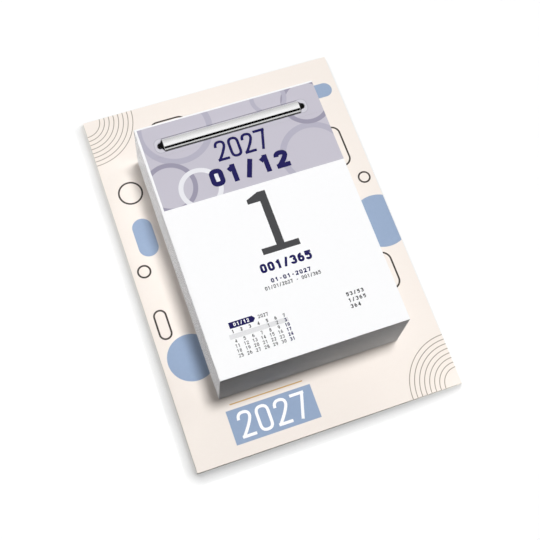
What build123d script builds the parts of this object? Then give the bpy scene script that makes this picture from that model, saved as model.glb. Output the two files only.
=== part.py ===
"""Tear-off day calendar: a pad of day leaves held on a backing board by a half-round metal bar.

The calendar lies on its back. X runs across the board, Y points to the head of the pad, where the bar is,
and Z points out of the page. The origin is under the middle of the board. Sizes are in millimetres.
"""
import os
from math import hypot, sqrt

from build123d import *

# Backing board: a chipboard core between two glued sheets of paper
board_width = 148.0
board_height = 210.0
core_thickness = 1.3
face_sheet_thickness = 0.15
back_sheet_thickness = 0.15

# Pad: one leaf for each day, with a film of air between two leaves
leaf_width = 101.0
leaf_height = 144.0
leaf_thickness = 0.1
leaf_air = 0.005
pad_center_x = -1.0
pad_center_y = 0.0
days_in_month = {
    "january": 31,
    "february": 28,
    "march": 31,
    "april": 30,
    "may": 31,
    "june": 30,
    "july": 31,
    "august": 31,
    "september": 30,
    "october": 31,
    "november": 30,
    "december": 31,
}

# Bar: half-round strip of sheet steel with a flat leg at each end
bar_from_head = 13.15
bar_width = 7.7
bar_height = 2.2
sheet_thickness = 0.5
leg_width = 2.0
leg_from_side = 9.65
leg_from_hole_middle = 1.1
leg_clearance = 0.17
shoulder_length = 1.6
shoulder_drop = 1.2
bend_radius = 0.8

# Clinched foot of each leg, pressed into a groove in the back of the board
foot_length = 10.0
foot_point_length = 2.5
foot_point_width = 0.8
foot_recess = 0.05
groove_clearance = 0.3

# Leaves bend just clear of the bar and tear a little further down
fold_from_bar = 1.2
perforation_from_fold = 1.2

# Levels
core_bottom = back_sheet_thickness
face_bottom = core_bottom + core_thickness
board_top = face_bottom + face_sheet_thickness
leaf_pitch = leaf_thickness + leaf_air
leaf_count = sum(days_in_month.values())
pad_top = board_top + leaf_count * leaf_pitch - leaf_air

# Lines across the pad
head_y = pad_center_y + leaf_height / 2
tail_y = pad_center_y - leaf_height / 2
bar_y = head_y - bar_from_head
fold_y = bar_y - bar_width / 2 - fold_from_bar
perforation_y = fold_y - perforation_from_fold

# Legs, and their holes, where each leg stands near the outer side
leg_x = pad_center_x + leaf_width / 2 - leg_from_side
hole_x = leg_x - leg_from_hole_middle
hole_radius = hypot(leg_from_hole_middle + sheet_thickness / 2, leg_width / 2) + leg_clearance
groove_depth = foot_recess + sheet_thickness

ON_TOP = (Align.CENTER, Align.CENTER, Align.MIN)


def at_both_legs(solid):
    """Return a solid made for the right leg together with its mirror image for the left leg."""
    return [solid, mirror(solid, about=Plane.YZ.offset(pad_center_x))]


def foot_outline(margin):
    """Blunt-pointed outline of a clinched foot, seen from the front, with a margin all round."""
    half_leg = leg_width / 2 + margin
    half_point = foot_point_width / 2 + margin
    start_x = leg_x - sheet_thickness / 2 - bend_radius
    tip_x = start_x - foot_length - margin
    taper_x = tip_x + foot_point_length
    return make_face(
        Polyline(
            (start_x, bar_y - half_leg),
            (start_x, bar_y + half_leg),
            (taper_x, bar_y + half_leg),
            (tip_x, bar_y + half_point),
            (tip_x, bar_y - half_point),
            (taper_x, bar_y - half_leg),
            close=True,
        )
    )


def drilled(solid):
    """Drill the two leg holes right through a sheet or a block of leaves."""
    drill = Pos(hole_x, bar_y) * Cylinder(hole_radius, 2 * (pad_top + bar_height))
    return solid - at_both_legs(drill)


def board_layer(bottom, thickness):
    """One layer of the board, with its leg holes and the grooves that the feet are pressed into."""
    layer = Pos(0, 0, bottom) * Box(board_width, board_height, thickness, align=ON_TOP)
    groove = extrude(foot_outline(groove_clearance), groove_depth)
    return drilled(layer) - at_both_legs(groove)


def leaf_block(bottom, count, low_y, high_y):
    """A block of leaves lying on each other, between two lines across the pad."""
    thickness = count * leaf_pitch - leaf_air
    middle = Pos(pad_center_x, (low_y + high_y) / 2, bottom)
    return middle * Box(leaf_width, high_y - low_y, thickness, align=ON_TOP)


def bar_section():
    """Half-round section of the bar in the YZ plane, open below, with its two rims on the pad."""
    half_width = bar_width / 2
    outer_radius = (half_width**2 + bar_height**2) / (2 * bar_height)
    center_drop = outer_radius - bar_height
    inner_half = sqrt((outer_radius - sheet_thickness) ** 2 - center_drop**2)
    outer = ThreePointArc((-half_width, 0), (0, bar_height), (half_width, 0))
    inner = ThreePointArc((inner_half, 0), (0, bar_height - sheet_thickness), (-inner_half, 0))
    rims = [Line(outer @ 1, inner @ 0), Line(inner @ 1, outer @ 0)]
    return make_face([outer, rims[0], inner, rims[1]])


def bar_end():
    """Right end of the bar: shoulder, bend, leg, lower bend and clinched foot."""
    shoulder_x = leg_x - sheet_thickness / 2 - bend_radius
    strip_top = pad_top + bar_height - shoulder_drop
    strip_middle = strip_top - sheet_thickness / 2
    upper_axis_z = strip_top - sheet_thickness - bend_radius
    lower_axis_z = foot_recess + sheet_thickness + bend_radius

    strip = Plane.YZ.offset(shoulder_x) * Pos(bar_y, strip_middle) * Rectangle(leg_width, sheet_thickness)
    round_end = Plane.YZ.offset(shoulder_x - shoulder_length) * Pos(bar_y, pad_top) * bar_section()
    shoulder = loft([round_end, strip], ruled=True)
    upper_bend = revolve(strip, Axis((shoulder_x, bar_y, upper_axis_z), (0, 1, 0)), 90)

    leg_section = Pos(leg_x, bar_y, lower_axis_z) * Rectangle(sheet_thickness, leg_width)
    leg = extrude(leg_section, upper_axis_z - lower_axis_z)
    lower_bend = revolve(leg_section, Axis((shoulder_x, bar_y, lower_axis_z), (0, 1, 0)), 90)
    foot = Pos(0, 0, foot_recess) * extrude(foot_outline(0), sheet_thickness)
    return shoulder + upper_bend + leg + lower_bend + foot


def binding_bar():
    """Half-round bar lying on the pad, with a leg at each end through the pad and the board."""
    half_length = leg_x - sheet_thickness / 2 - bend_radius - shoulder_length - pad_center_x
    start = Plane.YZ.offset(pad_center_x - half_length) * Pos(bar_y, pad_top) * bar_section()
    middle = extrude(start, 2 * half_length)
    return middle + at_both_legs(bar_end())


def calendar():
    """All pieces of the calendar, by name."""
    pieces = {
        "back_sheet": board_layer(0, back_sheet_thickness),
        "backing_board": board_layer(core_bottom, core_thickness),
        "face_sheet": board_layer(face_bottom, face_sheet_thickness),
        "binding_bar": binding_bar(),
    }
    bottom = board_top
    for month, days in reversed(days_in_month.items()):
        count = days - 1 if month == "january" else days
        pieces[f"{month}_stubs"] = drilled(leaf_block(bottom, count, fold_y, head_y))
        pieces[f"{month}_leaves"] = leaf_block(bottom, count, tail_y, fold_y)
        bottom += count * leaf_pitch
    pieces["top_leaf_stub"] = drilled(leaf_block(bottom, 1, fold_y, head_y))
    pieces["top_leaf_strip"] = leaf_block(bottom, 1, perforation_y, fold_y)
    pieces["top_leaf"] = leaf_block(bottom, 1, tail_y, perforation_y)
    return pieces


os.makedirs("parts", exist_ok=True)
for name, piece in calendar().items():
    export_step(piece, f"parts/{name}.step")
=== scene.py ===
import math
import random
from collections import namedtuple

import bpy
from mathutils import Matrix, Vector


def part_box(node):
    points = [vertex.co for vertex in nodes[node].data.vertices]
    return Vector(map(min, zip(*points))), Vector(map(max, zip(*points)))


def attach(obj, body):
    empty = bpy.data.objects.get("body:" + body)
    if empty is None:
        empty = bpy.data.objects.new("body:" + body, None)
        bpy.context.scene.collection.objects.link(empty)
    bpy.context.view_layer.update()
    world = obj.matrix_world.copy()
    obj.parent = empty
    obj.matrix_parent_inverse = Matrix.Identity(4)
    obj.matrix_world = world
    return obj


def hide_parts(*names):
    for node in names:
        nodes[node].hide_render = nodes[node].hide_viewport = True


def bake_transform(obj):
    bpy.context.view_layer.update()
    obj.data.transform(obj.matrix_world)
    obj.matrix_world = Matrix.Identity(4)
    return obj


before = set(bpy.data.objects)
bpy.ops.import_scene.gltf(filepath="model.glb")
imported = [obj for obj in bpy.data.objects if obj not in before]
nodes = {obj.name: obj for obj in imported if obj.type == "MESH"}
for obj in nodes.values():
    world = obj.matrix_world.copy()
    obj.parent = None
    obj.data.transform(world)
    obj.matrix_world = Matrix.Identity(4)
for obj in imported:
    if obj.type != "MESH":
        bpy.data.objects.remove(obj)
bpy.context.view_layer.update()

# The dressed calendar: separate leaves, print, finishes, and the lights and lens of the photograph.
# Lengths are in millimetres unless a line says otherwise.
MM = 0.001
ROOT = "board_and_stubs"
MONTHS = ("january", "february", "march", "april", "may", "june", "july",
          "august", "september", "october", "november", "december")

# Where the solids stand.
leaf_low, leaf_high = (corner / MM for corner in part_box("top_leaf"))
strip_low, strip_high = (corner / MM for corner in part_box("top_leaf_strip"))
stub_low, stub_high = (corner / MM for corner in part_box("top_leaf_stub"))
board_low, board_high = (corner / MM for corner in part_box("face_sheet"))
bar_low, bar_high = (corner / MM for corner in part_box("binding_bar"))

page_left, page_right = leaf_low.x, leaf_high.x
page_tail, page_head = leaf_low.y, stub_high.y
page_top = leaf_high.z
page_width = page_right - page_left
page_length = page_head - page_tail
page_x = (page_left + page_right) / 2
page_y = (page_tail + page_head) / 2
leaf_thickness = leaf_high.z - leaf_low.z
leaf_pitch = 0.105
fold_y = strip_high.y
perforation_y = leaf_high.y
board_top = board_high.z
bar_y = (bar_low.y + bar_high.y) / 2
bar_width = bar_high.y - bar_low.y
bar_length = bar_high.x - bar_low.x

# The punched holes that the bar's legs go through.
hole_radius = 1.85
hole_from_side = 10.75
hole_sides = 24
stack_hole_sides = 12
drill_length = 10.0

# A turned leaf bends over this length below the fold, in straight rows.
bend_length = 18.0
bend_row = 3.0

# How far a leaf in the pad can stand out beside the others.
leaf_slack = 0.03

# Perforation between the tear-off leaf and its strip.
slit_length = 1.0
slit_width = 0.12
slit_pitch = 1.6
knife_reach = 1.0

ink_thickness = 0.02

# Rounding at the corners of printed blocks.
block_round = 0.1


def linear(red, green, blue):
    """A colour as it looks on screen, 0 to 255, as linear values for a shader."""
    def channel(value):
        share = value / 255
        return share / 12.92 if share <= 0.04045 else ((share + 0.055) / 1.055) ** 2.4

    return (channel(red), channel(green), channel(blue), 1.0)


PAPER = linear(252, 252, 253)
PAPER_SHADE = linear(249, 249, 250)
# Leaf edges: streaks in tones painted darker than the paper, as shade in the gaps between the leaves.
EDGE_PAINTED_SHADE_PALE = linear(193, 192, 192)
EDGE_PAINTED_SHADE_DEEP = linear(164, 163, 163)
NAVY = linear(24, 19, 80)
NAVY_WORN = linear(32, 27, 90)
CHARCOAL = linear(68, 68, 70)
CHARCOAL_WORN = linear(76, 76, 78)
BAND_GREY = linear(221, 221, 223)
LAVENDER = linear(194, 190, 202)
LAVENDER_PALE = linear(196, 193, 204)
ORNAMENT_DARK = linear(151, 147, 166)
ORNAMENT_MID = linear(177, 174, 190)
ORNAMENT_PALE = linear(232, 232, 237)
# Painted light in a dent round each leg, and painted shade at the dent's rim.
PAINTED_DENT_LIGHT = linear(212, 211, 219)
PAINTED_DENT_SHADE = linear(158, 156, 168)
# Painted contact shadow along the bar's rims.
PAINTED_RIM_SHADOW = linear(96, 95, 102)
CREAM = linear(241, 233, 226)
CREAM_SHADE = linear(239, 230, 222)
BROWN = linear(56, 48, 42)
SKY = linear(149, 168, 196)
SKY_SHADE = linear(143, 162, 190)
CONTOUR = linear(150, 138, 124)
GOLD = linear(214, 172, 98)
CHIPBOARD_LIGHT = linear(238, 232, 222)
CHIPBOARD_DARK = linear(208, 200, 187)
LINER = linear(238, 235, 229)
LINER_SHADE = linear(230, 226, 219)
STEEL = (0.90, 0.90, 0.90, 1.0)
STEEL_DULL = (0.85, 0.85, 0.85, 1.0)
# Painted dark reflection on the bar's pressed tips.
PAINTED_DARK_REFLECTION = linear(24, 23, 24)
WHITE = (1, 1, 1, 1)
BLACK = (0, 0, 0, 1)

# Where the colours stand among a Mix node's sockets.
MIX_UNDER, MIX_INK, MIX_RESULT = 6, 7, 2


class Shade:
    """A socket in a finish's nodes. Arithmetic on it adds Math nodes."""

    def __init__(self, tree, socket=None):
        self.tree = tree
        self.socket = socket

    def node(self, kind, settings=(), sockets=(), out=0):
        """Add any node: its settings first, then the values or links of its sockets."""
        made = self.tree.nodes.new(kind)
        for name, value in dict(settings).items():
            setattr(made, name, value)
        for key, value in dict(sockets).items():
            if isinstance(value, Shade):
                self.tree.links.new(value.socket, made.inputs[key])
            else:
                made.inputs[key].default_value = value
        return Shade(self.tree, made.outputs[out])

    def maths(self, operation, *values):
        """Add a Math node."""
        return self.node("ShaderNodeMath", {"operation": operation}, enumerate(values))

    def __add__(self, other):
        return self.maths("ADD", self, other)

    def __radd__(self, other):
        return self.maths("ADD", other, self)

    def __sub__(self, other):
        return self.maths("SUBTRACT", self, other)

    def __rsub__(self, other):
        return self.maths("SUBTRACT", other, self)

    def __mul__(self, other):
        return self.maths("MULTIPLY", self, other)

    def __rmul__(self, other):
        return self.maths("MULTIPLY", other, self)

    def __truediv__(self, other):
        return self.maths("DIVIDE", self, other)

    def __rtruediv__(self, other):
        return self.maths("DIVIDE", other, self)

    def __abs__(self):
        return self.maths("ABSOLUTE", self)

    def clamped(self):
        """This value kept between 0 and 1."""
        return self.node("ShaderNodeClamp", (), {0: self})

    def contrast(self, low, gain):
        """This value from a low mark up, made steeper and kept between 0 and 1."""
        return ((self - low) * gain).clamped()

    def vector(self, operation, *values, out=0):
        """Add a Vector Math node."""
        return self.node("ShaderNodeVectorMath", {"operation": operation}, enumerate(values), out)

    def over(self, under, ink):
        """This mask lays ink over what is under it."""
        return self.node("ShaderNodeMix", {"data_type": "RGBA"},
                         {0: self, MIX_UNDER: under, MIX_INK: ink}, MIX_RESULT)


def new_finish(name):
    """A new material, with the start of its nodes and its main shader."""
    material = bpy.data.materials.new(name)
    material.use_nodes = True
    start = Shade(material.node_tree)
    shader = material.node_tree.nodes["Principled BSDF"]
    return material, start, shader


def feed(shader, name, value):
    """Set a socket of a shader, by a link where the value changes over the surface."""
    if isinstance(value, Shade):
        value.tree.links.new(value.socket, shader.inputs[name])
    else:
        shader.inputs[name].default_value = value


def noise(point, scale=1.0, detail=3.0, roughness=0.55):
    """Cloudy noise, 0 to 1, over a place."""
    return point.node("ShaderNodeTexNoise", {"noise_dimensions": "3D"},
                      {"Vector": point, "Scale": scale, "Detail": detail, "Roughness": roughness})


def stretched(point, x, y, z):
    """A place scaled along each axis."""
    return point.vector("MULTIPLY", point, (x, y, z))


def relief(height, strength, distance):
    """A slightly raised surface, for light to catch on."""
    return height.node("ShaderNodeBump", (),
                       {"Strength": strength, "Distance": distance * MM, "Height": height})


def inside(distance, radius, soft=0.12):
    """1 where the distance is under the radius, with a short soft edge."""
    return ((radius - distance) / soft + 0.5).clamped()


def apart(point, centre, half=(0, 0)):
    """Distance from a straight bar or block of the given half size about a centre."""
    reach = point.vector("ABSOLUTE", point.vector("SUBTRACT", point, (*centre, 0)))
    beyond = point.vector("MAXIMUM", point.vector("SUBTRACT", reach, (*half, 0)), (0, 0, 0))
    return point.vector("LENGTH", beyond, out="Value")


def line(distance, radius, width):
    """A line of the given width that keeps one distance."""
    return inside(abs(distance - radius), width / 2)


def body_point(start):
    """The piece's own place, in millimetres."""
    place = start.node("ShaderNodeTexCoord", out="Object")
    return stretched(place, 1 / MM, 1 / MM, 1 / MM)


def page_point(start):
    """Where a point lies on its page, in millimetres from the page's middle."""
    place = start.node("ShaderNodeUVMap", {"uv_map": "page"})
    spread = stretched(place, page_width, page_length, 0)
    return start.vector("SUBTRACT", spread, (page_width / 2, page_length / 2, 0))


def paper_mottle(point):
    """Faint cloud in a writing paper."""
    return noise(point, scale=0.35, detail=5.0)


def paper_relief(point):
    """Fine fibre of a smooth writing paper."""
    return relief(noise(point, scale=2.2, detail=4.0), strength=0.12, distance=0.03)


def paper_page():
    """White paper with the printed band across the head of each day's leaf."""
    material, start, shader = new_finish("printed_page")
    point = page_point(start)
    mottle = paper_mottle(point)
    colour = mottle.over(PAPER, PAPER_SHADE)
    drift = noise(point, scale=0.03, detail=1.0)
    band = drift.over(LAVENDER, LAVENDER_PALE)

    # Rings: centre, radius, width of the line and ink.
    rings = (
        ((-30.0, 66.0), 19.0, 3.4, ORNAMENT_MID),
        ((37.0, 30.0), 17.0, 3.4, ORNAMENT_MID),
        ((-42.0, 34.0), 13.0, 2.6, ORNAMENT_DARK),
        ((-27.0, 29.0), 10.5, 2.6, ORNAMENT_PALE),
        ((43.0, 61.0), 12.5, 2.6, ORNAMENT_DARK),
        ((24.0, 69.0), 9.0, 2.4, ORNAMENT_MID),
    )
    for centre, radius, width, ink in rings:
        band = line(apart(point, centre), radius, width).over(band, ink)

    # Paper pressed in by the bar, shown only by painted light and shade: a shallow dent round each leg,
    # painted
    # lighter, with painted shade at its rim; and a dark line along the bar's rims that is a painted
    # contact shadow.
    dent_radius, dent_half_slot, dent_edge, dent_light_strength = 3.2, 1.0, 0.5, 0.6
    rim_width, dent_shade_strength = 0.4, 0.55
    line_half_length, line_gap, line_width, rim_shadow_strength = 38.0, 0.1, 0.4, 0.8
    for side in (-1, 1):
        leg = (side * (page_width / 2 - hole_from_side), bar_y - page_y)
        gone = apart(point, leg, (0, dent_half_slot))
        band = (inside(gone, dent_radius, dent_edge) * dent_light_strength).over(band, PAINTED_DENT_LIGHT)
        band = (line(gone, dent_radius, rim_width) * dent_shade_strength).over(band, PAINTED_DENT_SHADE)
    # Painted contact shadow: a dark line along both rims of the bar.
    under_bar = apart(point, (0, bar_y - page_y), (line_half_length, bar_width / 2))
    band = (line(under_bar, line_gap, line_width) * rim_shadow_strength).over(band, PAINTED_RIM_SHADOW)

    # The band stops short of the left side and the head, and runs out over the right side.
    low_edge, left_margin, head_margin, right_bleed = 22.4, 1.4, 1.0, 1.0
    left = -page_width / 2 + left_margin
    right = page_width / 2 + right_bleed
    high_edge = page_length / 2 - head_margin
    middle = ((left + right) / 2, (low_edge + high_edge) / 2)
    half = ((right - left) / 2, (high_edge - low_edge) / 2)
    header = inside(apart(point, middle, half), block_round)
    feed(shader, "Base Color", header.over(colour, band))
    feed(shader, "Roughness", 0.62 + mottle * 0.1 - header * 0.12)
    feed(shader, "Normal", paper_relief(point))
    return material


def paper_plain():
    """The unprinted back of a leaf."""
    material, start, shader = new_finish("plain_page")
    point = page_point(start)
    mottle = paper_mottle(point)
    feed(shader, "Base Color", mottle.over(PAPER, PAPER_SHADE))
    feed(shader, "Roughness", 0.66 + mottle * 0.1)
    feed(shader, "Normal", paper_relief(point))
    return material


def paper_edge():
    """The trimmed edges of the leaves: streaks that run along each leaf, in tones painted darker than
    the paper as shade in the gaps between the leaves.
    """
    material, start, shader = new_finish("trimmed_edge")
    place = start.node("ShaderNodeUVMap", {"uv_map": "edge"})
    grain = noise(stretched(place, 0.08, 6.0, 0), detail=4.0, roughness=0.6)
    wide = noise(stretched(place, 0.05, 0.5, 0), detail=2.0)
    tone = (grain * 0.65 + wide * 0.35).contrast(low=0.3, gain=2.2)
    feed(shader, "Base Color", tone.over(EDGE_PAINTED_SHADE_DEEP, EDGE_PAINTED_SHADE_PALE))
    feed(shader, "Roughness", 0.8 + grain * 0.15)
    feed(shader, "Normal", relief(grain, strength=0.2, distance=0.05))
    return material


def printed_ink(name, full, worn):
    """Printing ink: dense, with a trace of paper grain showing through."""
    material, start, shader = new_finish(name)
    point = body_point(start)
    grain = noise(point, scale=3.0, detail=5.0, roughness=0.65)
    feed(shader, "Base Color", grain.contrast(low=0.42, gain=2.0).over(full, worn))
    feed(shader, "Roughness", 0.42 + grain * 0.2)
    feed(shader, "Specular IOR Level", 0.2)
    feed(shader, "Normal", relief(grain, strength=0.1, distance=0.02))
    return material


def board_face():
    """Cream printed face of the board with fans of lines, spots, rings and a block for the year."""
    material, start, shader = new_finish("printed_face")
    point = body_point(start)
    flat = stretched(point, 1, 1, 0)
    mottle = noise(point, scale=0.5, detail=6.0, roughness=0.6)
    colour = mottle.over(CREAM, CREAM_SHADE)
    tint = mottle.over(SKY, SKY_SHADE)
    width = board_high.x - board_low.x
    length = board_high.y - board_low.y

    # Fans of fine lines about two corners.
    first, spacing, lines, half_line = 8.0, 2.7, 8, 0.23
    for corner in ((-width / 2, length / 2), (width / 2, -length / 2)):
        gone = apart(flat, corner) - first
        ripple = abs(gone.maths("WRAP", gone, spacing, 0.0) - spacing / 2)
        reach = inside(abs(gone - spacing * lines / 2), spacing * lines / 2)
        colour = (inside(ripple, half_line) * reach).over(colour, CONTOUR)

    # Spots and rings: centre, half of the straight stretch and radius.
    spots = (
        ((-61.0, 27.0), (0, 6.0), 5.5),
        ((-58.0, -46.0), (0, 0), 13.0),
        ((61.0, 84.0), (5.0, 0), 4.5),
        ((67.0, -4.0), (0, 0), 16.0),
    )
    for centre, half, radius in spots:
        colour = inside(apart(flat, centre, half), radius).over(colour, tint)
    ring_line = 1.0
    rings = (
        ((-61.0, 55.0), (0, 0), 6.5),
        ((-67.5, 8.0), (0, 0), 3.4),
        ((-67.0, -24.0), (0, 5.0), 3.2),
        ((-28.0, 88.0), (6.0, 0), 5.0),
        ((38.0, 79.0), (0, 0), 4.0),
        ((60.0, 47.0), (0, 8.0), 4.6),
        ((68.0, 24.0), (0, 0), 3.2),
        ((59.0, -33.0), (0, 6.0), 5.0),
    )
    for centre, half, radius in rings:
        colour = line(apart(flat, centre, half), radius, ring_line).over(colour, BROWN)

    # The block behind the year and the rule above it.
    block_middle, block_half = (-27.0, -88.75), (23.3, 9.2)
    rule_middle, rule_half, rule_round = (-27.0, -76.6), (20.0, 0), 0.3
    year_block = inside(apart(flat, block_middle, block_half), block_round)
    colour = year_block.over(colour, tint)
    rule = inside(apart(flat, rule_middle, rule_half), rule_round)
    colour = rule.over(colour, GOLD)
    feed(shader, "Base Color", colour)
    feed(shader, "Roughness", 0.5 + mottle * 0.16)
    fibre = noise(point, scale=1.6, detail=5.0)
    feed(shader, "Normal", relief(fibre, strength=0.14, distance=0.04))
    return material


def chipboard():
    """Grey board of pressed fibre, seen at its cut edges."""
    material, start, shader = new_finish("pressed_board")
    point = body_point(start)
    layers = noise(stretched(point, 0.6, 0.6, 5.0), detail=6.0, roughness=0.65)
    specks = noise(point, scale=2.4, detail=2.0, roughness=0.5)
    tone = (layers * 0.7 + specks * 0.5).contrast(low=0.3, gain=1.6)
    feed(shader, "Base Color", tone.over(CHIPBOARD_DARK, CHIPBOARD_LIGHT))
    feed(shader, "Roughness", 0.82 + specks * 0.12)
    feed(shader, "Normal", relief(layers, strength=0.4, distance=0.08))
    return material


def liner_paper():
    """Off-white lining paper on the back of the board."""
    material, start, shader = new_finish("lining_paper")
    point = body_point(start)
    laid = noise(stretched(point, 0.25, 1.4, 1.0), detail=5.0, roughness=0.6)
    cloud = noise(point, scale=0.06, detail=3.0)
    tone = (laid * 0.5 + cloud * 0.7).contrast(low=0.25, gain=1.5)
    feed(shader, "Base Color", tone.over(LINER_SHADE, LINER))
    feed(shader, "Roughness", 0.68 + laid * 0.14)
    feed(shader, "Normal", relief(laid, strength=0.2, distance=0.04))
    return material


def bright_steel():
    """Bright rolled steel with fine lines along the bar, and a painted dark reflection on its pressed
    tips.
    """
    material, start, shader = new_finish("bright_steel")
    point = body_point(start)
    drawn = noise(stretched(point, 0.06, 9.0, 9.0), detail=4.0, roughness=0.6)
    smear = noise(stretched(point, 0.15, 0.6, 0.6), detail=2.0)
    bright = smear.contrast(low=0.4, gain=1.4).over(STEEL, STEEL_DULL)
    across = start.node("ShaderNodeSeparateXYZ", (), {0: point}, "X")
    up = start.node("ShaderNodeSeparateXYZ", (), {0: point}, "Z")
    # Painted dark reflection: the bar's pressed tips above the board are coloured near black.
    end_length, end_blend = 2.9, 0.2
    straight = bar_length / 2 - end_length
    painted_dark_tips = ((abs(across - page_x) - straight) / end_blend).clamped() * (up - board_top).clamped()
    feed(shader, "Base Color", painted_dark_tips.over(bright, PAINTED_DARK_REFLECTION))
    feed(shader, "Metallic", 1.0)
    feed(shader, "Roughness", 0.07 + drawn * 0.05 + smear * 0.03 + painted_dark_tips * 0.2)
    feed(shader, "Normal", relief(drawn, strength=0.05, distance=0.005))
    return material


PAGE = paper_page()
PLAIN = paper_plain()
EDGE = paper_edge()
NAVY_INK = printed_ink("navy_ink", NAVY, NAVY_WORN)
CHARCOAL_INK = printed_ink("charcoal_ink", CHARCOAL, CHARCOAL_WORN)
BAND_INK = printed_ink("band_ink", BAND_GREY, PAPER_SHADE)
WHITE_INK = printed_ink("white_ink", PAPER, PAPER_SHADE)


def dress(node, material):
    """Give a solid its finish."""
    slots = nodes[node].data.materials
    slots.clear()
    slots.append(material)


dress("face_sheet", board_face())
dress("backing_board", chipboard())
dress("back_sheet", liner_paper())
dress("binding_bar", bright_steel())


X_AXIS, Y_AXIS = 0, 1

# Points nearer to each other than this, in metres, are one.
CUT_GAP = 1e-6
WELD_GAP = 1e-7

# How far off a wanted point may be when it is picked.
NEAR = 0.01


def put(name, data):
    """Put a new object into the scene."""
    made = bpy.data.objects.new(name, data)
    bpy.context.scene.collection.objects.link(made)
    return made


def let_go():
    """Deselect everything."""
    bpy.ops.object.select_all(action="DESELECT")


def take(*objects):
    """Select these objects alone; the last is the active one."""
    let_go()
    for chosen in objects:
        chosen.select_set(True)
    bpy.context.view_layer.objects.active = objects[-1]


def settle(piece):
    """Put a piece's place, turn and scale into its mesh."""
    take(piece)
    bpy.ops.object.transform_apply(location=True, rotation=True, scale=True)
    return piece


def block(name, low, high):
    """A block between two corners."""
    let_go()
    middle = [(a + b) / 2 * MM for a, b in zip(low, high)]
    size = [(b - a) * MM for a, b in zip(low, high)]
    bpy.ops.mesh.primitive_cube_add(size=1, location=middle, scale=size)
    made = bpy.context.object
    made.name = name
    return settle(made)


def enter_edit():
    bpy.ops.object.mode_set(mode="EDIT")


def leave_edit():
    bpy.ops.object.mode_set(mode="OBJECT")


def slice_across(piece, axis, places):
    """Cut edge lines across a piece at places along an axis."""
    take(piece)
    normal = [float(k == axis) for k in range(3)]
    enter_edit()
    for place in places:
        bpy.ops.mesh.select_all(action="SELECT")
        spot = [place * MM * share for share in normal]
        bpy.ops.mesh.bisect(plane_co=spot, plane_no=normal, threshold=CUT_GAP)
    leave_edit()


def clear_picks(piece, kind):
    """Deselect all of a piece's mesh, so that faces or points can be picked."""
    take(piece)
    enter_edit()
    bpy.ops.mesh.select_mode(type=kind)
    bpy.ops.mesh.select_all(action="DESELECT")
    leave_edit()


def pick_faces(piece, wanted):
    """Enter edit mode with only the wanted faces selected."""
    clear_picks(piece, "FACE")
    for face in piece.data.polygons:
        face.select = wanted(face.center / MM, face.normal)
    enter_edit()


def pick_points(piece, wanted):
    """Enter edit mode with only the wanted points selected."""
    clear_picks(piece, "VERT")
    for point in piece.data.vertices:
        point.select = wanted(point.co / MM)
    enter_edit()


def pull_out(x, y):
    """Extrude the picked faces and leave edit mode."""
    bpy.ops.mesh.extrude_region_move(TRANSFORM_OT_translate={"value": (x * MM, y * MM, 0)})
    leave_edit()


def shift_picked(x, y):
    """Move the picked points and leave edit mode."""
    bpy.ops.transform.translate(value=(x * MM, y * MM, 0))
    leave_edit()


def modify(piece, kind, **settings):
    """Put a modifier on a piece and apply it."""
    take(piece)
    change = piece.modifiers.new(kind.lower(), kind)
    for name, value in settings.items():
        setattr(change, name, value)
    bpy.ops.object.modifier_apply(modifier=change.name)


def combine(piece, other, operation):
    """Work one solid into another, by DIFFERENCE or UNION, and throw the other away."""
    modify(piece, "BOOLEAN", operation=operation, solver="EXACT", object=other)
    bpy.data.objects.remove(other)


def repeat(piece, count, step):
    """Repeat a piece in a straight row."""
    modify(piece, "ARRAY", use_relative_offset=False, use_constant_offset=True,
           constant_offset_displace=[length * MM for length in step], count=count)


def copy_of(piece, name, shift):
    """A copy with its own mesh, moved aside."""
    made = piece.copy()
    made.data = piece.data.copy()
    made.name = name
    made.location = [length * MM for length in shift]
    bpy.context.scene.collection.objects.link(made)
    return made


def join(parts, name):
    """Join parts into one piece whose place is in its mesh."""
    for part in parts:
        settle(part)
    take(*parts)
    bpy.ops.object.join()
    made = bpy.context.object
    made.name = name
    made.data.name = name
    return made


def punch(sheet, sides):
    """The two round holes for the bar's legs."""
    for x in (page_left + hole_from_side, page_right - hole_from_side):
        let_go()
        bpy.ops.mesh.primitive_cylinder_add(vertices=sides, radius=hole_radius * MM,
                                            depth=drill_length * MM,
                                            location=(x * MM, bar_y * MM, page_top * MM))
        combine(sheet, settle(bpy.context.object), "DIFFERENCE")


def slit(sheet):
    """Perforate a sheet along the tear line."""
    count = int(page_width / slit_pitch)
    left = page_x - (count - 1) * slit_pitch / 2 - slit_length / 2
    low = (left, perforation_y - slit_width / 2, page_top - knife_reach)
    high = (left + slit_length, perforation_y + slit_width / 2, page_top + knife_reach)
    knife = block("slits", low, high)
    repeat(knife, count, (slit_pitch, 0, 0))
    combine(sheet, knife, "DIFFERENCE")


def surface(sheet):
    """Lay the print on a leaf's face, plain paper on its back and trimmed edges round it."""
    mesh = sheet.data
    mesh.materials.clear()
    for material in (PAGE, PLAIN, EDGE):
        mesh.materials.append(material)
    for name in [layer.name for layer in mesh.uv_layers]:
        mesh.uv_layers.remove(mesh.uv_layers[name])
    for name in ("page", "edge"):
        mesh.uv_layers.new(name=name)
    page, edge = mesh.uv_layers["page"].data, mesh.uv_layers["edge"].data
    printed, plain, trimmed, facing = 0, 1, 2, 0.5
    for face in mesh.polygons:
        if face.normal.z > facing:
            face.material_index = printed
        elif face.normal.z < -facing:
            face.material_index = plain
        else:
            face.material_index = trimmed
        for corner in face.loop_indices:
            x, y, z = mesh.vertices[mesh.loops[corner].vertex_index].co / MM
            page[corner].uv = ((x - page_left) / page_width, (y - page_tail) / page_length)
            edge[corner].uv = (x + y, z)


bend_rows = [fold_y - bend_row * k for k in range(int(bend_length / bend_row) + 1)]


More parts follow.
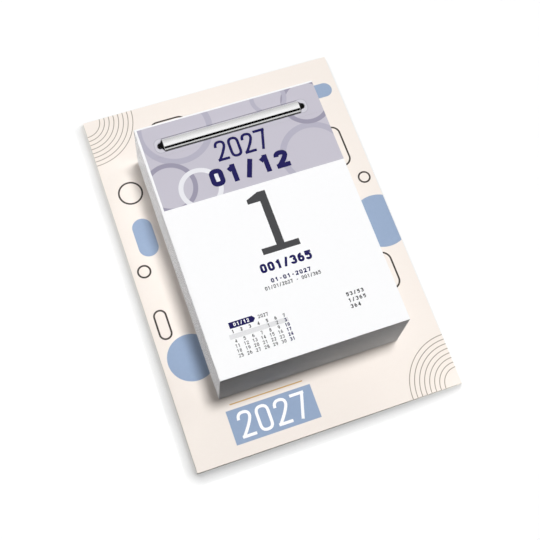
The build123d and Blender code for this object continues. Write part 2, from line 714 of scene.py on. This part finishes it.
def whole_leaf():
    """One punched leaf, from its head in the binding to its tail, creased at the fold."""
    low = (page_left, page_tail, page_top - leaf_thickness)
    sheet = block("whole_leaf", low, (page_right, page_head, page_top))
    punch(sheet, stack_hole_sides)
    slice_across(sheet, Y_AXIS, bend_rows)
    return sheet


def days_of(month):
    """How many leaves a month's solid holds."""
    low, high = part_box(month + "_leaves")
    return round(((high.z - low.z) / MM - leaf_thickness) / leaf_pitch) + 1


def month_stack(pattern, month, draw):
    """A month's leaves, copied from one leaf and never quite flush."""
    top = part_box(month + "_leaves")[1].z / MM
    parts = []
    for day in range(days_of(month)):
        aside = draw.uniform(-leaf_slack, leaf_slack)
        along = draw.uniform(-leaf_slack, leaf_slack)
        shift = (aside, along, top - page_top - day * leaf_pitch)
        parts.append(copy_of(pattern, f"{month}_{day}", shift))
    stack = join(parts, month + "_sheets")
    surface(stack)
    return stack


def bend_with(piece):
    """Put the piece's place, turn and scale into its mesh."""
    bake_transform(piece)


draw = random.Random(27)
pattern = whole_leaf()
for month in MONTHS:
    stack = month_stack(pattern, month, draw)
    bend_with(stack)
    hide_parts(month + "_stubs", month + "_leaves")
bpy.data.objects.remove(pattern)

top_stub = block("top_leaf_stub_sheet", tuple(stub_low), tuple(stub_high))
punch(top_stub, hole_sides)
top_strip = block("top_leaf_strip_sheet", tuple(strip_low), tuple(strip_high))
slit(top_strip)
top_leaf = block("top_leaf_sheet", tuple(leaf_low), tuple(leaf_high))
slit(top_leaf)
for sheet, node, body in ((top_stub, "top_leaf_stub", ROOT),
                          (top_strip, "top_leaf_strip", "top_leaf_strip"),
                          (top_leaf, "top_leaf", "top_leaf")):
    surface(sheet)
    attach(sheet, body)
    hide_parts(node)

# A numeral's strokes run through control points in a unit box. A coordinate under 0 or over 1
# means the outer edge, and the others keep half a stroke inside it.
OPEN, LOOP = False, True
STROKES = {
    "0": ((LOOP, (0, 0), (0, .5), (0, 1), (1, 1), (1, .5), (1, 0)),),
    "1": ((OPEN, (.62, -1), (.62, 2)), (OPEN, (.08, .76), (.62, .97))),
    "2": ((OPEN, (0, .72), (0, 1), (1, 1), (1, .6), (.04, .02)), (OPEN, (-1, 0), (2, 0))),
    "3": ((OPEN, (0, .8), (0, 1), (.96, 1), (.96, .54), (.4, .54)),
          (OPEN, (.4, .54), (1, .54), (1, 0), (0, 0), (0, .2))),
    "4": ((OPEN, (.74, -1), (.74, 2)), (OPEN, (.72, .98), (.03, .27)), (OPEN, (-1, .25), (2, .25))),
    "5": ((OPEN, (.06, 1), (2, 1)), (OPEN, (.08, 2), (.03, .5)),
          (OPEN, (.03, .54), (.2, .64), (1, .68), (1, 0), (0, 0), (0, .2))),
    "6": ((LOOP, (0, 0), (0, .6), (1, .6), (1, 0)), (OPEN, (.8, 1), (.3, .95), (0, .66), (0, .3))),
    "7": ((OPEN, (-1, 1), (2, 1)), (OPEN, (.97, .98), (.34, -1))),
    "8": ((LOOP, (.05, .53), (.05, 1), (.95, 1), (.95, .53)),
          (LOOP, (0, 0), (0, .53), (1, .53), (1, 0))),
    "9": ((LOOP, (1, 1), (1, .4), (0, .4), (0, 1)), (OPEN, (.2, 0), (.7, .05), (1, .34), (1, .7))),
    "/": ((OPEN, (.12, -1), (.88, 2)),),
    "-": ((OPEN, (.1, .45), (.9, .45)),),
}
Style = namedtuple("Style", "height width stroke pitch")
stroke_steps = 6
stroke_order = 3
numeral_meshes = {}


def place_in(share, size, stroke):
    """Where a control point stands along one side of a numeral's box."""
    if share < 0:
        return 0
    if share > 1:
        return size
    return stroke / 2 + share * (size - stroke)


def stroke(closed, points, style):
    """One stroke of a numeral: a ribbon stood on edge along its line, thickened to both sides."""
    path = bpy.data.curves.new("stroke", "CURVE")
    path.dimensions = "3D"
    path.resolution_u = stroke_steps
    path.extrude = ink_thickness / 2 * MM
    spline = path.splines.new("NURBS")
    spline.points.add(len(points) - 1)
    for point, (across, up) in zip(spline.points, points):
        x = place_in(across, style.width, style.stroke)
        y = place_in(up, style.height, style.stroke)
        point.co = (x * MM, y * MM, 0, 1)
    spline.use_cyclic_u = closed
    spline.use_endpoint_u = not closed
    spline.order_u = min(stroke_order, len(points))
    spline.use_smooth = False
    take(put("stroke", path))
    bpy.ops.object.convert(target="MESH")
    made = bpy.context.object
    modify(made, "SOLIDIFY", thickness=style.stroke * MM, offset=0, use_even_offset=True)
    enter_edit()
    bpy.ops.mesh.select_all(action="SELECT")
    bpy.ops.mesh.remove_doubles(threshold=WELD_GAP)
    bpy.ops.mesh.normals_make_consistent(inside=False)
    leave_edit()
    return made


def numeral(character, style):
    """One numeral drawn with even strokes, its lower left corner at the origin."""
    if (character, style) not in numeral_meshes:
        made, *others = [stroke(closed, points, style) for closed, *points in STROKES[character]]
        for other in others:
            combine(made, other, "UNION")
        numeral_meshes[character, style] = made.data
        bpy.data.objects.remove(made)
    return numeral_meshes[character, style]


def row_length(words, style):
    return style.pitch * (len(words) - 1) + style.width


def write(words, style, ink, middle, base, height):
    """Set numerals in a row about a middle line; height is how far the ink's middle plane is up."""
    left = middle - row_length(words, style) / 2
    parts = []
    for count, character in enumerate(words):
        if character == " ":
            continue
        mesh = numeral(character, style).copy()
        mesh.materials.clear()
        mesh.materials.append(ink)
        made = put("numeral", mesh)
        made.location = ((left + style.pitch * count) * MM, base * MM, height * MM)
        parts.append(made)
    return parts


def on_page(x, y):
    """A place on the page, from a place that is measured from the page's middle."""
    return (page_x + x, page_y + y)


def ink_block(ink, low, high, height):
    """A printed block of colour."""
    half = ink_thickness / 2
    made = block("printed_block", (*low, height - half), (*high, height + half))
    made.data.materials.append(ink)
    return made


def arrow_tag(ink, low, high, height):
    """A block with a pointed right end."""
    point_length = 1.3
    middle = (low[1] + high[1]) / 2
    tag = ink_block(ink, low, high, height)
    slice_across(tag, Y_AXIS, [middle])
    pick_points(tag, lambda p: p.x > high[0] - NEAR and abs(p.y - middle) < NEAR)
    shift_picked(point_length, 0)
    return tag


def slab_one(ink, height):
    """The large figure one: a foot, a stem raised from it and a flag pulled out of the stem."""
    foot_left, foot_right, foot_low, foot_high = -8.4, 11.9, -16.5, -13.0
    stem_left, stem_right, head = -0.1, 4.2, 18.0
    flag_low, flag_reach, flag_drop = 12.6, 6.7, 2.9
    facing = 0.9
    left, right = page_x + stem_left, page_x + stem_right
    figure = ink_block(ink, on_page(foot_left, foot_low), on_page(foot_right, foot_high), height)
    slice_across(figure, X_AXIS, [left, right])
    pick_faces(figure, lambda c, n: n.y > facing and left < c.x < right)
    pull_out(0, head - foot_high)
    slice_across(figure, Y_AXIS, [page_y + flag_low])
    pick_faces(figure, lambda c, n: n.x < -facing and c.y > page_y + flag_low)
    pull_out(-flag_reach, 0)
    pick_points(figure, lambda p: p.x < left - NEAR and p.y > page_y + head - NEAR)
    shift_picked(0, -flag_drop)
    return figure


# Styles of numerals: height, width, width of the stroke, and pitch along a row.
YEAR = Style(12.0, 6.3, 1.5, 7.5)
MONTH = Style(10.3, 7.6, 2.7, 9.0)
COUNT = Style(5.0, 3.4, 1.3, 4.05)
DATE = Style(2.3, 1.65, 0.58, 2.2)
SMALL = Style(2.0, 1.2, 0.38, 1.52)
SIDE = Style(2.1, 1.4, 0.5, 2.0)
GRID = Style(1.85, 1.05, 0.32, 1.4)
GRID_BOLD = Style(1.85, 1.1, 0.44, 1.4)
TAG = Style(1.8, 1.2, 0.4, 1.75)
BOARD_YEAR = Style(14.3, 7.8, 1.6, 10.0)
DAY = Style(34.5, 19.0, 4.3, 24.0)

CALENDAR_YEAR = "2027"
MONTH_COUNT = "01/12"
WEEK_COUNT = "53/53"
DAYS_IN_YEAR = 365
WEEK = 7

# Rows about the middle line of the print: style, ink, step aside and base line above the page's middle.
print_x = page_x + 1.3
PRINT_ROWS = {
    "year": (YEAR, NAVY_INK, -0.1, 40.6),
    "month": (MONTH, NAVY_INK, -0.4, 27.1),
    "day": (DAY, CHARCOAL_INK, 0.4, -16.5),
    "count": (COUNT, NAVY_INK, 0.0, -25.8),
    "date": (DATE, NAVY_INK, 0.0, -31.9),
    "date_and_count": (SMALL, CHARCOAL_INK, 0.0, -35.0),
}

# Rows at the right, the tag and the month grid, all from the page's middle.
side_left, side_base, side_step = 24.3, -50.8, 3.3
tag_low, tag_high = (-37.3, -48.4), (-24.9, -45.1)
tag_middle, tag_year_middle, tag_base = -30.9, -19.4, -47.6
band_low, band_high = (-38.9, -53.8), (-8.0, -51.3)
grid_left, grid_pitch, grid_head_base = -36.4, 4.5, -50.9
grid_bases = (-53.4, -56.0, -58.5, -61.1, -63.7)


def month_grid(height):
    """The tag with its month and the grid of January's days, which start in the fifth column."""
    first_column, days = 4, 31
    upper = height + ink_thickness / 2
    parts = [arrow_tag(NAVY_INK, on_page(*tag_low), on_page(*tag_high), height)]
    parts += write(MONTH_COUNT, TAG, WHITE_INK, page_x + tag_middle, page_y + tag_base, upper)
    parts += write(CALENDAR_YEAR, GRID, CHARCOAL_INK, page_x + tag_year_middle, page_y + tag_base,
                   height)
    parts.append(ink_block(BAND_INK, on_page(*band_low), on_page(*band_high), height))
    columns = [page_x + grid_left + grid_pitch * column for column in range(WEEK)]
    for column, middle in enumerate(columns):
        parts += write(str(column + 1), GRID_BOLD, CHARCOAL_INK, middle, page_y + grid_head_base, height)
    for date in range(1, days + 1):
        row, column = divmod(date - 1 + first_column, WEEK)
        style, ink = (GRID_BOLD, NAVY_INK) if column == WEEK - 1 else (GRID, CHARCOAL_INK)
        parts += write(str(date), style, ink, columns[column], page_y + grid_bases[row], upper)
    return parts


def day_print(name, day, height):
    """All that is printed on one January leaf."""
    count = f"{day:03d}/{DAYS_IN_YEAR}"
    words = {
        "year": CALENDAR_YEAR,
        "month": MONTH_COUNT,
        "day": str(day),
        "count": count,
        "date": f"{day:02d}-01-{CALENDAR_YEAR}",
        "date_and_count": f"{day:02d}/01/{CALENDAR_YEAR} - {count}",
    }
    parts = []
    for row, (style, ink, aside, base) in PRINT_ROWS.items():
        if row == "day" and day == 1:
            parts.append(slab_one(ink, height))
        else:
            parts += write(words[row], style, ink, print_x + aside, page_y + base, height)
    side_rows = (WEEK_COUNT, f"{day}/{DAYS_IN_YEAR}", f"{DAYS_IN_YEAR - day}")
    for row, side_words in enumerate(side_rows):
        middle = page_x + side_left + row_length(side_words, SIDE) / 2
        base = page_y + side_base - side_step * row
        parts += write(side_words, SIDE, CHARCOAL_INK, middle, base, height)
    return join(parts + month_grid(height), name)


first_print = day_print("top_leaf_print", 1, page_top)
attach(first_print, "top_leaf")

second_print = day_print("second_leaf_print", 2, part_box("january_leaves")[1].z / MM)
slice_across(second_print, Y_AXIS, bend_rows)
bend_with(second_print)

# The year on the board, from the board's middle.
board_year_middle, board_year_base = -27.2, -95.8
board_numerals = write(CALENDAR_YEAR, BOARD_YEAR, WHITE_INK, board_year_middle, board_year_base,
                       board_top)
board_year = join(board_numerals, "board_year_print")
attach(board_year, ROOT)


LENS_RAYS = ("Is Camera Ray", "Is Glossy Ray", "Is Transmission Ray")


def grey(tone):
    return (tone, tone, tone, 1)


def seen_by_lens(start):
    """1 for what the lens sees straight on, in gloss or through glass."""
    straight, gloss, glass = (start.node("ShaderNodeLightPath", out=ray) for ray in LENS_RAYS)
    return (straight + gloss + glass).clamped()


def matte_finish(name):
    """A new finish without any gloss."""
    material, start, shader = new_finish(name)
    feed(shader, "Roughness", 1.0)
    feed(shader, "Specular IOR Level", 0.0)
    return material, start, shader


def studio_floor():
    """White floor that throws little light back, with a soft shadow at the foot of the board."""
    floor_metres, floor_drop, floor_tone = 6, 0.05, 0.10
    shadow_lean, shadow_reach, shadow_rays = (0.6, 0.6, 0.53), 6.5, 16
    shadow_curve, shadow_depth, shadow_limit = 0.7, 1.05, 0.5
    let_go()
    bpy.ops.mesh.primitive_plane_add(size=floor_metres, location=(0, 0, -floor_drop * MM))
    floor = bpy.context.object
    floor.name = "studio_floor"
    material, start, shader = matte_finish("studio_floor")
    lean = start.node("ShaderNodeCombineXYZ", (), enumerate(shadow_lean))
    open_sky = start.node("ShaderNodeAmbientOcclusion", {"samples": shadow_rays},
                          {"Distance": shadow_reach * MM, "Normal": lean}, "AO")
    shut = 1.0 - open_sky
    foot_shadow = shut.maths("POWER", shut, shadow_curve) * shadow_depth
    foot_shadow = foot_shadow.maths("MINIMUM", foot_shadow, shadow_limit)
    white = foot_shadow.over(WHITE, BLACK)
    feed(shader, "Base Color", seen_by_lens(start).over(grey(floor_tone), white))
    floor.data.materials.append(material)


def studio_air():
    """Air that the lens sees as white and that lights the calendar only faintly."""
    glow = 0.02
    world = bpy.data.worlds.new("studio_air")
    bpy.context.scene.world = world
    world.use_nodes = True
    background = world.node_tree.nodes["Background"]
    seen = seen_by_lens(Shade(world.node_tree))
    feed(background, "Color", WHITE)
    feed(background, "Strength", glow + seen * (1.0 - glow))


def sun(name, share, spread, toward):
    """A far soft lamp; share 1 lights a white sheet that faces it to white.

    Its light runs toward an azimuth, 0 to the pad's head and 90 to the left, down from an elevation.
    """
    lamp = bpy.data.lights.new(name, "SUN")
    lamp.energy = share * math.pi
    lamp.angle = math.radians(spread)
    made = put(name, lamp)
    azimuth, elevation = (math.radians(angle) for angle in toward)
    made.rotation_euler = (math.pi / 2 - elevation, 0, azimuth)
    made.visible_glossy = False


def soft_lamp(name, watts, size, place, target):
    """A square soft lamp near the object, aimed at a point; places are in metres."""
    lamp = bpy.data.lights.new(name, "AREA")
    lamp.energy = watts
    lamp.size = size
    made = put(name, lamp)
    made.location = place
    made.rotation_euler = (Vector(target) - made.location).to_track_quat("-Z", "Y").to_euler()
    made.visible_glossy = made.visible_camera = False


def card(name, azimuth, low, high, length, low_tone, high_tone):
    """A card that only shows in the steel, between two angles from straight up, graded in tone.

    Its length, and its distance from the bar, are in metres.
    """
    distance = 0.6
    lean, half = math.radians((low + high) / 2), math.radians((high - low) / 2)
    turn = math.radians(azimuth)
    let_go()
    bpy.ops.mesh.primitive_plane_add(size=1)
    made = bpy.context.object
    made.name = name
    made.scale = (length, 2 * distance * math.tan(half), 1)
    made.rotation_euler = (lean, 0, turn)
    out = Vector((math.sin(lean) * math.sin(turn), -math.sin(lean) * math.cos(turn), math.cos(lean)))
    made.location = Vector((page_x, bar_y, page_top)) * MM + out * distance
    for ray in ("camera", "diffuse", "transmission", "volume_scatter", "shadow"):
        setattr(made, "visible_" + ray, False)
    material, start, shader = matte_finish(name)
    feed(shader, "Base Color", BLACK)
    place = start.node("ShaderNodeTexCoord", out="Object")
    up = start.node("ShaderNodeSeparateXYZ", (), {0: place}, "Y")
    feed(shader, "Emission Color", (up + 0.5).over(grey(high_tone), grey(low_tone)))
    feed(shader, "Emission Strength", 1.0)
    made.data.materials.append(material)


def camera():
    """The photograph's viewpoint, with its place in metres."""
    eye = bpy.data.cameras.new("photo_view")
    eye.lens = 68.42
    eye.sensor_width = 36
    eye.clip_start, eye.clip_end = 0.01, 20
    made = put("photo_view", eye)
    made.location = (-0.09700, -0.18548, 0.52861)
    right = (0.94095, -0.33316, 0.06012)
    up = (0.29353, 0.89136, 0.34543)
    back = (-0.16867, -0.30739, 0.93652)
    made.rotation_euler = Matrix((right, up, back)).transposed().to_euler()
    bpy.context.scene.camera = made


studio_floor()
studio_air()
sun("key", share=0.92, spread=12, toward=(116, 80.5))
sun("side_fill", share=0.12, spread=18, toward=(97, 45))
sun("back_fill", share=0.06, spread=20, toward=(140, 8))
soft_lamp("left_lamp", watts=1.76, size=0.008, place=(-0.355, 0.135, 0.0046), target=(-0.05, 0.0, 0.02))
soft_lamp("front_lamp", watts=0.042, size=0.012, place=(0.105, -0.145, 0.008), target=(0.0, -0.07, 0.02))
card("front_card", azimuth=13, low=22, high=53, length=0.6, low_tone=0.0, high_tone=0.0)
card("middle_card", azimuth=0, low=53, high=70, length=0.8, low_tone=0.66, high_tone=0.66)
card("low_card", azimuth=-13, low=70, high=93, length=1.24, low_tone=0.05, high_tone=0.05)
card("back_card", azimuth=180, low=12, high=100, length=1.6, low_tone=1.0, high_tone=0.5)
for side in (-1, 1):
    card("side_card", azimuth=side * 115, low=35, high=95, length=0.55, low_tone=0.85, high_tone=0.4)
    card("side_flag", azimuth=side * 72, low=28, high=62, length=0.14, low_tone=0.0, high_tone=0.0)
camera()
bpy.context.scene.view_settings.view_transform = "Standard"
